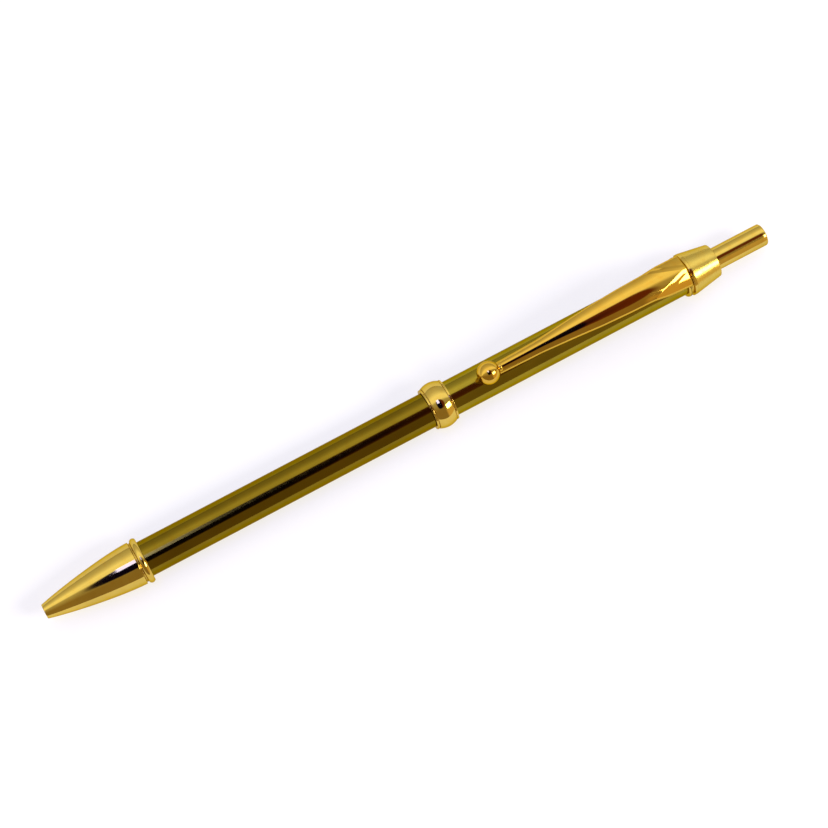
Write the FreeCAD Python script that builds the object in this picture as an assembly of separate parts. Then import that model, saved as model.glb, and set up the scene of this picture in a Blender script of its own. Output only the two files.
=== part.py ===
import FreeCAD, Part
import math
import os

from FreeCAD import Vector

# Retractable ballpoint pen, in millimetres. It lies along X with its writing end at -X, its button at +X
# and its clip on top. The pieces are drawn about the X axis, with X = 0 at the mouth of the nib, and
# export() then moves them so that the origin is under the pen's middle, on the surface that it lies on.

# Visible lengths along the pen, from the mouth of the nib to the button's end
NIB_OGIVE = 19.0
NIB_GROOVE = 0.4
NIB_FLANGE = 1.2
LOWER_TUBE = 59.7
BAND_SPACE = 4.6
UPPER_TUBE = 50.58
CLIP_RING_THICKNESS = 0.87
SPACER_THICKNESS = 0.36
CONE_LENGTH = 6.39
BUTTON_OUT = 11.3

# Barrel tubes, and how far what is seen around them stands out from the tubes' outside
TUBE_OUTER_R = 3.5
TUBE_WALL = 0.35
NIB_WIDE_STEP = 0.78
NIB_GROOVE_STEP = 0.45
NIB_FLANGE_STEP = 1.05
BAND_LIP_STEP = 0.65
BAND_GROOVE_STEP = 0.5
BAND_SHOULDER_STEP = 0.72
BAND_BELLY_STEP = 1.12
CLIP_RING_STEP = 0.65
SPACER_STEP = 0.35
CONE_BASE_STEP = 0.83
BAND_LIP = 0.35
BAND_GROOVE = 0.15
CLIP_RING_EDGE = 0.2
CONE_COLLAR = 0.6
CONE_BASE_EDGE = 0.15
CONE_TOP_EDGE = 0.2
CONE_TOP_WALL = 1.05

# Clearances
SLIDING_GAP = 0.05
FACE_GAP = 0.05
BODY_GAP = 0.1

# Writing end. The ogive leaves the mouth at a slope and meets the groove level, over two reaches.
NIB_MOUTH_WALL = 0.25
NIB_MOUTH_EDGE = 0.15
NIB_SLOPE = 0.27
NIB_SLOPE_REACH = 4.35
NIB_LEVEL_REACH = 4.7
NIB_ROOM = 0.2
SPRING_SEAT_X = 6.5
NIB_BUSHING_WALL = 0.4
NIB_BUSHING_LENGTH = 7.5
SPIGOT_LENGTH = 8.0

# Screwed joint between the two halves
COUPLER_GRIP = 8.0
COUPLER_WALL = 0.4
COUPLER_NECK_STEP = 0.2
BUSH_WALL = 0.25
BUSH_TAIL = 2.0
THREAD_PITCH = 0.75
THREAD_TURNS = 8
THREAD_DEPTH = 0.35
THREAD_ROOT_WIDTH = 0.46
THREAD_CREST_WIDTH = 0.16
THREAD_RELIEF = 0.7
THREAD_FLANK_GAP = 0.06
THREAD_SUNK = 0.05

# Refill: a metal tube of the slim standard size
REFILL_LENGTH = 106.8
REFILL_TUBE_R = 1.5
REFILL_WALL = 0.2
TIP_R = 1.15
TIP_TAPER = 2.4
TIP_END_R = 0.42
TIP_LENGTH = 14.0
TIP_STEM_R = 0.8
TIP_STEM = 3.0
BALL_R = 0.35
BALL_SHOWS = 0.3
HOLDER_NECK = 8.6
HOLDER_COLLAR_R = 2.0
HOLDER_COLLAR = 1.2
HOLDER_SPIGOT = 3.3
REFILL_CAP = 1.3
INK_FILL = 0.72
TIP_RETRACTED = 2.0

# Spring round the refill's tip
SPRING_WIRE_R = 0.2
SPRING_ROOM = 0.25
SPRING_COILS = 12

# Click mechanism
BUTTON_TRAVEL = 6.0
SLEEVE_END = 1.2
SLEEVE_LENGTH = 25.5
SLEEVE_WALL = 0.5
RIB_COUNT = 4
RIB_ANGLE = 45.0
RIB_LENGTH = 14.0
RIB_DEPTH = 0.35
RIB_END_ROOM = 1.0
CAM_SLANT = 25.0
FIN_ANGLE = 34.0
FIN_LENGTH = 4.0
FIN_ROOT = 0.1
SPLINE_LENGTH = 5.0
SPLINE_ROOM = 0.2
PLUNGER_WALL = 0.6
ROTOR_STUB = 3.8
CROWN_TEETH = 8
CROWN_HEIGHT = 0.9
REFILL_SOCKET = 2.2
BUTTON_LEDGE = 0.4
BUTTON_CHAMFER = 0.45
BUTTON_STEM = 5.4
BUTTON_FLANGE = 1.1
CONE_GUIDE = 2.0

# Clip
CLIP_BALL_R = 2.25
CLIP_BALL_FLAT = 0.2
CLIP_BALL_FROM_BAND = 8.0
CLIP_COLLAR = 0.65
CLIP_COLLAR_R = 1.1
CLIP_STUD_R = 0.6
CLIP_STUD = 1.4
CLIP_END_INSET = 0.58
CLIP_FOOT = 1.3
CLIP_FOOT_WIDTH = 4.0
CLIP_EDGE = 0.55
CLIP_CROWN = 0.6
# Share of the arm's length, width of the arm, height of its edges' middle above the barrel
CLIP_SHAPE = [
    (0.0, 2.35, 2.2),
    (0.16, 2.7, 2.35),
    (0.43, 4.1, 3.1),
    (0.72, 5.55, 3.5),
    (0.88, 6.2, 3.15),
    (1.0, 6.6, 2.35),
]

TUBE_INNER_R = TUBE_OUTER_R - TUBE_WALL
LOWER_TUBE_X = NIB_OGIVE + NIB_GROOVE + NIB_FLANGE
BAND_X = LOWER_TUBE_X + LOWER_TUBE
UPPER_TUBE_X = BAND_X + BAND_SPACE
CLIP_RING_X = UPPER_TUBE_X + UPPER_TUBE
SPACER_X = CLIP_RING_X + CLIP_RING_THICKNESS
CONE_X = SPACER_X + SPACER_THICKNESS
CONE_END_X = CONE_X + CONE_LENGTH
PEN_LENGTH = CONE_END_X + BUTTON_OUT

NIB_BORE_R = TIP_R + SLIDING_GAP
NIB_MOUTH_R = NIB_BORE_R + NIB_MOUTH_WALL
NIB_INNER_R = HOLDER_COLLAR_R + NIB_ROOM
SPIGOT_R = TUBE_INNER_R - NIB_BUSHING_WALL

COUPLER_NECK_R = TUBE_INNER_R - COUPLER_NECK_STEP
THREAD_CREST_R = TUBE_INNER_R - BUSH_WALL - SLIDING_GAP
THREAD_CORE_R = THREAD_CREST_R - THREAD_DEPTH
COUPLER_BORE_R = THREAD_CORE_R - COUPLER_WALL
THREAD_X = UPPER_TUBE_X + THREAD_RELIEF
THREAD_LENGTH = THREAD_PITCH * THREAD_TURNS
COUPLER_END_X = THREAD_X + THREAD_LENGTH + BODY_GAP
BUSH_END_X = COUPLER_END_X + BUSH_TAIL

REFILL_END_X = TIP_RETRACTED + REFILL_LENGTH
REFILL_INNER_R = REFILL_TUBE_R - REFILL_WALL
HOLDER_X = TIP_RETRACTED + TIP_LENGTH
COLLAR_X = HOLDER_X + HOLDER_NECK
REFILL_TUBE_X = COLLAR_X + HOLDER_COLLAR
INK_X = REFILL_TUBE_X + HOLDER_SPIGOT
SPRING_R = TIP_R + SPRING_ROOM + SPRING_WIRE_R

SLEEVE_BORE_R = TUBE_INNER_R - SLEEVE_WALL
RIB_BORE_R = SLEEVE_BORE_R - RIB_DEPTH
FIN_R = SLEEVE_BORE_R - BODY_GAP
ROTOR_R = RIB_BORE_R - BODY_GAP
BUTTON_R = SLEEVE_BORE_R - BUTTON_LEDGE
FLANGE_R = SLEEVE_BORE_R - SLIDING_GAP
BUTTON_STEM_R = ROTOR_R - PLUNGER_WALL
ROTOR_STUB_R = BUTTON_STEM_R - BODY_GAP
CONE_TOP_R = BUTTON_R + SLIDING_GAP + CONE_TOP_WALL
FLANGE_END_X = CONE_END_X - CONE_GUIDE - FACE_GAP
FLANGE_X = FLANGE_END_X - BUTTON_FLANGE
SLEEVE_END_X = CLIP_RING_X - SLEEVE_END
SLEEVE_X = SLEEVE_END_X - SLEEVE_LENGTH
RIB_END_X = FLANGE_X - BUTTON_TRAVEL - RIB_END_ROOM
RIB_X = RIB_END_X - RIB_LENGTH
CROWN_X = RIB_X + BUTTON_TRAVEL
ROTOR_X = REFILL_END_X - REFILL_SOCKET

CLIP_RING_R = TUBE_OUTER_R + CLIP_RING_STEP
CLIP_BALL_X = UPPER_TUBE_X + CLIP_BALL_FROM_BAND
CLIP_BALL_Z = TUBE_OUTER_R + CLIP_BALL_R + FACE_GAP
CLIP_COLLAR_X = CLIP_BALL_X + CLIP_BALL_R - CLIP_BALL_FLAT
CLIP_ARM_X = CLIP_COLLAR_X + CLIP_COLLAR
CLIP_END_X = SPACER_X - CLIP_END_INSET
CLIP_FOOT_X = CLIP_END_X - CLIP_FOOT

REST_R = TUBE_OUTER_R + BAND_BELLY_STEP
# How far the middle of a quarter-round edge lies inside its corner, for a round of radius 1
ROUND_MIDDLE = 1 - math.cos(math.pi / 4)
AXIS = Vector(1, 0, 0)
LONG = 1000.0


def at(x, r):
    """Point of an outline: distance along the pen and radius."""
    return Vector(x, 0, r)


def turned(start, *steps):
    """Solid of revolution about the pen's axis. Each step goes on from the last point: one point is a line,
    two are an arc through the first to the second, and three are a cubic Bezier curve."""
    edges = []
    here = at(*start)
    for step in steps + ((start,),):
        points = [here] + [at(*p) for p in step]
        if len(points) == 2:
            edges.append(Part.makeLine(*points))
        elif len(points) == 3:
            edges.append(Part.Arc(*points).toShape())
        else:
            curve = Part.BezierCurve()
            curve.setPoles(points)
            edges.append(curve.toShape())
        here = points[-1]
    solid = Part.Face(Part.Wire(edges)).revolve(Vector(0, 0, 0), AXIS, 360)
    if solid.Volume < 0:
        solid.reverse()
    return solid


def tube(x0, x1, outer, inner):
    """Plain ring or tube between two places along the pen."""
    return turned((x0, inner), ((x0, outer),), ((x1, outer),), ((x1, inner),))


def rod(x0, x1, radius):
    return Part.makeCylinder(radius, x1 - x0, at(x0, 0), AXIS)


def turned_about_axis(shape, degrees):
    copy = shape.copy()
    copy.rotate(Vector(0, 0, 0), AXIS, degrees)
    return copy


def around(shape, count):
    """Copies of a shape spaced evenly round the pen's axis."""
    return [turned_about_axis(shape, i * 360.0 / count) for i in range(count)]


def sector(x0, x1, outer, inner, degrees):
    """Part of a tube that covers an angle, centred on +Z."""
    half = math.radians(degrees / 2)
    reach = 2 * outer
    corners = [Vector(x0, 0, 0), Vector(x0, -reach * math.sin(half), reach * math.cos(half))]
    corners.append(Vector(x0, reach * math.sin(half), reach * math.cos(half)))
    wedge = Part.Face(Part.makePolygon(corners + corners[:1])).extrude(Vector(x1 - x0, 0, 0))
    return tube(x0, x1, outer, inner).common(wedge)


def helical_ridge(x0, length, crest_r, root_width, crest_width):
    """Right-handed thread ridge of trapezoid section, wound round the pen's axis and sunk into its core."""
    root_r = THREAD_CORE_R - THREAD_SUNK
    helix = Part.makeHelix(THREAD_PITCH, length, root_r)
    section = [
        Vector(root_r, 0, -root_width / 2),
        Vector(crest_r, 0, -crest_width / 2),
        Vector(crest_r, 0, crest_width / 2),
        Vector(root_r, 0, root_width / 2),
    ]
    return wound(helix, Part.makePolygon(section + section[:1]), x0)


def wound(helix, profile, x0):
    """Section carried along a helix, then laid along the pen from a place on it."""
    solid = Part.Wire(helix.Edges).makePipeShell([profile], True, True)
    solid.rotate(Vector(0, 0, 0), Vector(0, 1, 0), 90)
    solid.translate(at(x0, 0))
    if solid.Volume < 0:
        solid.reverse()
    return solid


def rounded(x, radius, size, along):
    """Arc points of a quarter-round edge that ends at this outline corner. along is 1 where the outline turns
    on to +X at the corner, and -1 where it comes from -X and turns down."""
    if along > 0:
        return (x + size * ROUND_MIDDLE, radius - size * ROUND_MIDDLE), (x + size, radius)
    return (x - size * ROUND_MIDDLE, radius - size * ROUND_MIDDLE), (x, radius - size)


def nib_cone():
    """Ogive with a groove and a rounded flange, bored for the refill, with a spigot at the back."""
    wide_r = TUBE_OUTER_R + NIB_WIDE_STEP
    groove_r = TUBE_OUTER_R + NIB_GROOVE_STEP
    bead_r = TUBE_OUTER_R + NIB_FLANGE_STEP
    bead_foot_r = (groove_r + bead_r) / 2
    bead_x = NIB_OGIVE + NIB_GROOVE
    slope_end = (NIB_MOUTH_EDGE + NIB_SLOPE_REACH, NIB_MOUTH_R + NIB_SLOPE * NIB_SLOPE_REACH)
    return turned(
        (0, NIB_BORE_R),
        ((0, NIB_MOUTH_R - NIB_MOUTH_EDGE),),
        rounded(0, NIB_MOUTH_R, NIB_MOUTH_EDGE, 1),
        (slope_end, (NIB_OGIVE - NIB_LEVEL_REACH, wide_r), (NIB_OGIVE, wide_r)),
        ((NIB_OGIVE, groove_r),),
        ((bead_x, groove_r),),
        ((bead_x, bead_foot_r),),
        (((bead_x + LOWER_TUBE_X) / 2, bead_r), (LOWER_TUBE_X, bead_foot_r)),
        ((LOWER_TUBE_X, SPIGOT_R),),
        ((LOWER_TUBE_X + SPIGOT_LENGTH, SPIGOT_R),),
        ((LOWER_TUBE_X + SPIGOT_LENGTH, NIB_INNER_R),),
        ((SPRING_SEAT_X, NIB_INNER_R),),
        ((SPRING_SEAT_X, NIB_BORE_R),),
    )


def nib_bushing():
    return tube(LOWER_TUBE_X, LOWER_TUBE_X + NIB_BUSHING_LENGTH, TUBE_INNER_R, SPIGOT_R)


def lower_barrel():
    return tube(LOWER_TUBE_X, BAND_X, TUBE_OUTER_R, TUBE_INNER_R)


def upper_barrel():
    return tube(UPPER_TUBE_X, CLIP_RING_X, TUBE_OUTER_R, TUBE_INNER_R)


def lower_coupler():
    """Bushing pressed into the lower barrel, with a neck for the band and a threaded nose."""
    body = turned(
        (BAND_X - COUPLER_GRIP, COUPLER_BORE_R),
        ((BAND_X - COUPLER_GRIP, TUBE_INNER_R),),
        ((BAND_X, TUBE_INNER_R),),
        ((BAND_X, COUPLER_NECK_R),),
        ((UPPER_TUBE_X - FACE_GAP, COUPLER_NECK_R),),
        ((UPPER_TUBE_X - FACE_GAP, THREAD_CORE_R),),
        ((COUPLER_END_X, THREAD_CORE_R),),
        ((COUPLER_END_X, COUPLER_BORE_R),),
    )
    ridge = helical_ridge(
        THREAD_X + THREAD_ROOT_WIDTH / 2,
        THREAD_LENGTH - THREAD_ROOT_WIDTH,
        THREAD_CREST_R,
        THREAD_ROOT_WIDTH,
        THREAD_CREST_WIDTH,
    )
    return body.fuse(ridge)


def upper_bush():
    """Bushing pressed into the upper barrel, with the matching internal thread."""
    body = tube(UPPER_TUBE_X, BUSH_END_X, TUBE_INNER_R, THREAD_CORE_R + SLIDING_GAP)
    groove = helical_ridge(
        THREAD_X + THREAD_ROOT_WIDTH / 2 - 2 * THREAD_PITCH,
        THREAD_LENGTH + 4 * THREAD_PITCH,
        THREAD_CREST_R + SLIDING_GAP,
        THREAD_ROOT_WIDTH + 2 * THREAD_FLANK_GAP,
        THREAD_CREST_WIDTH + 2 * THREAD_FLANK_GAP,
    )
    return body.cut(groove)


def centre_band():
    """Loose ring trapped between the barrels: a lip and a groove at each edge, and a rounded belly."""
    x0 = BAND_X + FACE_GAP
    x1 = UPPER_TUBE_X - FACE_GAP
    belly0 = x0 + BAND_LIP + BAND_GROOVE
    belly1 = x1 - BAND_LIP - BAND_GROOVE
    inner_r = COUPLER_NECK_R + SLIDING_GAP
    lip_r = TUBE_OUTER_R + BAND_LIP_STEP
    groove_r = TUBE_OUTER_R + BAND_GROOVE_STEP
    shoulder_r = TUBE_OUTER_R + BAND_SHOULDER_STEP
    return turned(
        (x0, inner_r),
        ((x0, lip_r),),
        ((x0 + BAND_LIP, lip_r),),
        ((x0 + BAND_LIP, groove_r),),
        ((belly0, groove_r),),
        ((belly0, shoulder_r),),
        (((belly0 + belly1) / 2, REST_R), (belly1, shoulder_r)),
        ((belly1, groove_r),),
        ((x1 - BAND_LIP, groove_r),),
        ((x1 - BAND_LIP, lip_r),),
        ((x1, lip_r),),
        ((x1, inner_r),),
    )


def clip_ring():
    edge = CLIP_RING_EDGE
    return turned(
        (CLIP_RING_X, TUBE_INNER_R),
        ((CLIP_RING_X, CLIP_RING_R - edge),),
        rounded(CLIP_RING_X, CLIP_RING_R, edge, 1),
        ((SPACER_X - edge, CLIP_RING_R),),
        rounded(SPACER_X, CLIP_RING_R, edge, -1),
        ((SPACER_X, TUBE_INNER_R),),
    )


def spacer_ring():
    return tube(SPACER_X, CONE_X, TUBE_OUTER_R + SPACER_STEP, TUBE_INNER_R)


def cap_cone():
    """Cone over the button, with a plain collar at its wide end, a guide bore for the button and a spigot that
    holds the rings to the barrel."""
    base_r = TUBE_OUTER_R + CONE_BASE_STEP
    guide_x = CONE_END_X - CONE_GUIDE
    return turned(
        (SLEEVE_END_X + FACE_GAP, SLEEVE_BORE_R),
        ((SLEEVE_END_X + FACE_GAP, TUBE_INNER_R),),
        ((CONE_X, TUBE_INNER_R),),
        ((CONE_X, base_r - CONE_BASE_EDGE),),
        rounded(CONE_X, base_r, CONE_BASE_EDGE, 1),
        ((CONE_X + CONE_COLLAR, base_r),),
        ((CONE_END_X - CONE_TOP_EDGE, CONE_TOP_R),),
        rounded(CONE_END_X, CONE_TOP_R, CONE_TOP_EDGE, -1),
        ((CONE_END_X, BUTTON_R + SLIDING_GAP),),
        ((guide_x, BUTTON_R + SLIDING_GAP),),
        ((guide_x, SLEEVE_BORE_R),),
    )


def push_button():
    """Rod with a rounded end, a flange that keeps it in the cone and a stem for the plunger."""
    return turned(
        (FLANGE_X - BUTTON_STEM, 0),
        ((FLANGE_X - BUTTON_STEM, BUTTON_STEM_R),),
        ((FLANGE_X, BUTTON_STEM_R),),
        ((FLANGE_X, FLANGE_R),),
        ((FLANGE_END_X, FLANGE_R),),
        ((FLANGE_END_X, BUTTON_R),),
        ((PEN_LENGTH - BUTTON_CHAMFER, BUTTON_R),),
        rounded(PEN_LENGTH, BUTTON_R, BUTTON_CHAMFER, -1),
        ((PEN_LENGTH, 0),),
    )


def behind_slant(x):
    """Everything on the -X side of a plane that crosses a top rib or spline at a slant."""
    block = Part.makeBox(LONG, LONG, LONG, Vector(-LONG, -LONG / 2, 0))
    block.rotate(Vector(0, 0, 0), Vector(0, 0, 1), CAM_SLANT)
    block.translate(Vector(x, 0, 0))
    return block


def slant_lead(radius, degrees):
    """How far a slanted end reaches beyond its middle, at each side of a rib of this angle."""
    return radius * math.sin(math.radians(degrees / 2)) * math.tan(math.radians(CAM_SLANT))


def cam_sleeve():
    """Slotted guide: ribs on the inside of a tube, each with a slanted end that the rotor locks on."""
    rib = sector(RIB_X, RIB_END_X, TUBE_INNER_R, RIB_BORE_R, RIB_ANGLE)
    rib = rib.cut(behind_slant(RIB_X + slant_lead(RIB_BORE_R, RIB_ANGLE)))
    ribs = around(turned_about_axis(rib, 180.0 / RIB_COUNT), RIB_COUNT)
    sleeve = tube(SLEEVE_X, SLEEVE_END_X, TUBE_INNER_R, SLEEVE_BORE_R)
    return sleeve.fuse(ribs).removeSplitter()


def crown(outer, inner, shift):
    """Ring of teeth that point to -X, moved that way by a shift."""
    half = outer * math.tan(math.pi / CROWN_TEETH)
    tip_x = CROWN_X - shift
    base_x = tip_x + CROWN_HEIGHT
    triangle = [Vector(tip_x, 0, 0), Vector(base_x, -half, 0), Vector(base_x, half, 0)]
    tooth = Part.Face(Part.makePolygon(triangle + triangle[:1])).extrude(Vector(0, 0, outer * 2))
    ring = tube(tip_x, base_x, outer, inner)
    return [ring.common(t) for t in around(tooth, CROWN_TEETH)]


def plunger():
    """Toothed tube on the button's stem, with fins that ride in the sleeve's slots."""
    body = tube(CROWN_X + CROWN_HEIGHT, FLANGE_X, ROTOR_R, BUTTON_STEM_R)
    fins_x = CROWN_X + 2 * CROWN_HEIGHT
    fin = sector(fins_x, fins_x + FIN_LENGTH, FIN_R, ROTOR_R - FIN_ROOT, FIN_ANGLE)
    return body.fuse(crown(ROTOR_R, BUTTON_STEM_R, 0.0) + around(fin, RIB_COUNT)).removeSplitter()


def rotor():
    """Cam that carries the refill: a toothed end, splines with slanted ends and a socket for the tube."""
    body = rod(ROTOR_X, CROWN_X + CROWN_HEIGHT - FACE_GAP, ROTOR_R)
    for notch in crown(ROTOR_R + FIN_ROOT, ROTOR_STUB_R, FACE_GAP):
        body = body.cut(notch)
    stub = rod(CROWN_X, CROWN_X + ROTOR_STUB, ROTOR_STUB_R)
    spline = sector(CROWN_X - SPLINE_LENGTH, CROWN_X, FIN_R, ROTOR_R - FIN_ROOT, FIN_ANGLE)
    spline = spline.common(behind_slant(CROWN_X - SPLINE_ROOM - slant_lead(FIN_R, FIN_ANGLE)))
    body = body.fuse([stub] + around(spline, RIB_COUNT)).removeSplitter()
    return body.cut(rod(ROTOR_X, REFILL_END_X, REFILL_TUBE_R))


def refill_tip():
    """Point: a long taper to the ball's seat, a plain length and a stem for the holder."""
    ball_x = TIP_RETRACTED + BALL_R
    nose_x = TIP_RETRACTED + BALL_SHOWS
    solid = turned(
        (nose_x, 0),
        ((nose_x, TIP_END_R),),
        ((TIP_RETRACTED + TIP_TAPER, TIP_R),),
        ((HOLDER_X, TIP_R),),
        ((HOLDER_X, TIP_STEM_R),),
        ((HOLDER_X + TIP_STEM, TIP_STEM_R),),
        ((HOLDER_X + TIP_STEM, 0),),
    )
    return solid.cut(Part.makeSphere(BALL_R, at(ball_x, 0)))


def writing_ball():
    return Part.makeSphere(BALL_R, at(TIP_RETRACTED + BALL_R, 0))


def refill_holder():
    """Stepped piece between tip and tube. The spring pushes on its collar."""
    return turned(
        (HOLDER_X, TIP_STEM_R),
        ((HOLDER_X, TIP_R),),
        ((COLLAR_X, TIP_R),),
        ((COLLAR_X, HOLDER_COLLAR_R),),
        ((REFILL_TUBE_X, HOLDER_COLLAR_R),),
        ((REFILL_TUBE_X, REFILL_INNER_R),),
        ((INK_X, REFILL_INNER_R),),
        ((INK_X, TIP_STEM_R),),
    )


def refill_tube():
    return tube(REFILL_TUBE_X, REFILL_END_X, REFILL_TUBE_R, REFILL_INNER_R)


def refill_cap():
    return rod(REFILL_END_X - REFILL_CAP, REFILL_END_X, REFILL_INNER_R)


def ink_column():
    room = REFILL_END_X - REFILL_CAP - INK_X
    return rod(INK_X, INK_X + INK_FILL * room, REFILL_INNER_R)


def nib_spring():
    """Coil between the nib's inner seat and the refill's collar."""
    end_room = SPRING_WIRE_R + FACE_GAP
    length = COLLAR_X - SPRING_SEAT_X - 2 * end_room
    helix = Part.makeHelix(length / SPRING_COILS, length, SPRING_R)
    wire = Part.Wire(Part.makeCircle(SPRING_WIRE_R, Vector(SPRING_R, 0, 0), Vector(0, 1, 0)))
    return wound(helix, wire, SPRING_SEAT_X + end_room)


def arm_section(share, width, height):
    """Section of the clip's arm: flat below, straight edges and a low crown."""
    x = CLIP_ARM_X + share * (CLIP_END_X - CLIP_ARM_X)
    low = TUBE_OUTER_R + height - CLIP_EDGE / 2
    high = low + CLIP_EDGE
    corners = [Vector(x, side * width / 2, z) for side, z in ((-1, high), (-1, low), (1, low), (1, high))]
    crown_arc = Part.Arc(corners[3], Vector(x, 0, high + CLIP_CROWN), corners[0])
    return Part.Wire([Part.makeLine(a, b) for a, b in zip(corners, corners[1:])] + [crown_arc.toShape()])


def clip_arm():
    """Tapered leaf and the foot that joins it to the ring."""
    leaf = Part.makeLoft([arm_section(*row) for row in CLIP_SHAPE], True, False)
    foot_top = TUBE_OUTER_R + CLIP_SHAPE[-1][2]
    foot = Part.makeBox(CLIP_FOOT, CLIP_FOOT_WIDTH, foot_top, Vector(CLIP_FOOT_X, -CLIP_FOOT_WIDTH / 2, 0))
    foot = foot.cut(rod(CLIP_FOOT_X, CLIP_END_X, CLIP_RING_R + FACE_GAP))
    return leaf.fuse(foot)


def clip_ball():
    ball = Part.makeSphere(CLIP_BALL_R, at(CLIP_BALL_X, CLIP_BALL_Z))
    beyond = Part.makeBox(LONG, LONG, LONG, Vector(CLIP_COLLAR_X, -LONG / 2, -LONG / 2))
    stud = rod(CLIP_COLLAR_X - CLIP_STUD, CLIP_COLLAR_X, CLIP_STUD_R)
    stud.translate(at(0, CLIP_BALL_Z))
    return ball.cut(beyond).cut(stud)


def clip_collar():
    """Neck between ball and arm, with a stud that holds the ball."""
    disc = rod(CLIP_COLLAR_X, CLIP_ARM_X, CLIP_COLLAR_R)
    collar = disc.fuse(rod(CLIP_COLLAR_X - CLIP_STUD, CLIP_COLLAR_X, CLIP_STUD_R))
    collar.translate(at(0, CLIP_BALL_Z))
    return collar


PIECES = [
    nib_cone,
    nib_bushing,
    lower_barrel,
    lower_coupler,
    centre_band,
    upper_bush,
    upper_barrel,
    clip_ring,
    clip_arm,
    clip_ball,
    clip_collar,
    spacer_ring,
    cap_cone,
    push_button,
    plunger,
    cam_sleeve,
    rotor,
    refill_cap,
    refill_tube,
    ink_column,
    refill_holder,
    refill_tip,
    writing_ball,
    nib_spring,
]


def export():
    """Each piece goes to a STEP file of its own, in the pen's lying position."""
    os.makedirs("parts", exist_ok=True)
    place = Vector(-PEN_LENGTH / 2, 0, REST_R)
    for piece in PIECES:
        shape = piece()
        shape.translate(place)
        shape.exportStep("parts/" + piece.__name__ + ".step")
        print(piece.__name__, shape.isValid(), len(shape.Solids), round(shape.Volume, 3))


export()
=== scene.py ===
import math

import bmesh
import bpy
import numpy as np
from mathutils import Matrix, Vector


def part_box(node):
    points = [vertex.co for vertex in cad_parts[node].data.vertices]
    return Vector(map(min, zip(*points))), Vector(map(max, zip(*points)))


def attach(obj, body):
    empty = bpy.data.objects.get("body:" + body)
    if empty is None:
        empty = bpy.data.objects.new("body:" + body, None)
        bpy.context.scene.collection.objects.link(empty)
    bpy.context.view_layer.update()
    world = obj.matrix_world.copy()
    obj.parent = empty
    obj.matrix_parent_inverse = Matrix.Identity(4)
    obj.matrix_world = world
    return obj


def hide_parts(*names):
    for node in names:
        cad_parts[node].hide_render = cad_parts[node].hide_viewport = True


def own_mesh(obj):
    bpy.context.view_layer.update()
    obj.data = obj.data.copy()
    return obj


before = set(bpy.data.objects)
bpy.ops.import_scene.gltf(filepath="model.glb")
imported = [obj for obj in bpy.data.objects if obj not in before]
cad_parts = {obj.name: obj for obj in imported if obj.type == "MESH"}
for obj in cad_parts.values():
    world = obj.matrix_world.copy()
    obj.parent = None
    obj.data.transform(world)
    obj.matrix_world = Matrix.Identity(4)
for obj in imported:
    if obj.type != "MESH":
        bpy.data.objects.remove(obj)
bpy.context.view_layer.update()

bl_info = {
    "name": "Click Ballpoint Pen",
    "version": (1, 0, 0),
    "blender": (4, 5, 0),
    "location": "View3D > Sidebar > Pen",
    "description": "Builds the visible pieces of a slim click ballpoint pen around its CAD frame",
    "category": "Object",
}

MM = 0.001
BARREL_LOW, BARREL_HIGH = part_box("lower_barrel")
AXIS_Z = (BARREL_LOW.z + BARREL_HIGH.z) / 2
TUBE_R = (BARREL_HIGH.z - BARREL_LOW.z) / 2
TURN_STEPS = 192
ARC_STEPS = 6

# The clip's leaf: shares of its length, then its width, its rims' height over the barrel and its
# crown there, in millimetres
LEAF_WIDTH = (
    (0, 0.22, 0.367, 0.52, 0.671, 0.796, 0.875, 1),
    (2.35, 2.8, 3.7, 4.75, 5.35, 5.6, 6.4, 6.6))
LEAF_HEIGHT = (
    (0, 0.16, 0.43, 0.72, 0.776, 0.838, 0.895, 1),
    (2.1, 2.3, 3.05, 3.45, 3.45, 3.30, 3.06, 2.62))
LEAF_CROWN = ((0, 0.8, 1), (0.42, 0.75, 0.70))
# The flute down each side of its root, in millimetres: places across it, and its depth there. It runs
# in by FLUTE_DRAFT for each unit towards the leaf's root.
FLUTE_DRAFT = 0.36
FLUTE = ((-0.33, 0.30, 0.34, 0.81, 2.9), (0, 0.17, 0.19, 0.37, 0.79))
LEAF_END_ROUND = 0.2 * MM
LEAF_ROOT = 10 * MM
LEAF_LIFT = 0.17 * MM
LEAF_OVER_COLLAR = 0.65 * MM

# Clip foot: room over the ring, head height over the barrel, half its width and how much narrower its
# head is, half its length, its place back from the leaf's end, and the head's fall to both sides
FOOT_ROOM = 0.05 * MM
FOOT_HEAD = 3.05 * MM
FOOT_HALF_WIDTH = 2.0
FOOT_TAPER = 0.1
FOOT_HALF_LENGTH = 0.5 * MM
FOOT_INSET = 0.62 * MM
FOOT_HEAD_FALL = 0.22

# Nib: depth of its groove and slant of the groove's walls, crown of its flange, wall and rounding at
# its mouth, room round the refill's holder, and the pulls of the ogive's curve at the mouth and the back
NIB_GROOVE_DEPTH = 0.30 * MM
NIB_GROOVE_SLANT = 0.05 * MM
NIB_FLANGE_CROWN = 0.32 * MM
NIB_MOUTH_WALL = 0.25 * MM
NIB_MOUTH_LIP = 0.06 * MM
NIB_MOUTH_ROUND = 0.05 * MM
NIB_MOUTH_CHAMFER = 0.1 * MM
HOLDER_ROOM = 0.2 * MM
OGIVE_MOUTH_PULL = (4.5 * MM, 1.17 * MM)
OGIVE_BACK_PULL = 4.7 * MM

# Centre band: how far its bore is inside the barrel's, how far its lips stand out, and its grooves
BAND_REACH = 0.15 * MM
BAND_LIP_STAND = 0.62 * MM
BAND_GROOVE_DEPTH = 0.14 * MM
BAND_LIP_SLANT = 0.02 * MM
BAND_GROOVE_SLANT = 0.01 * MM
BELLY_EDGE = 0.03 * MM

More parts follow.
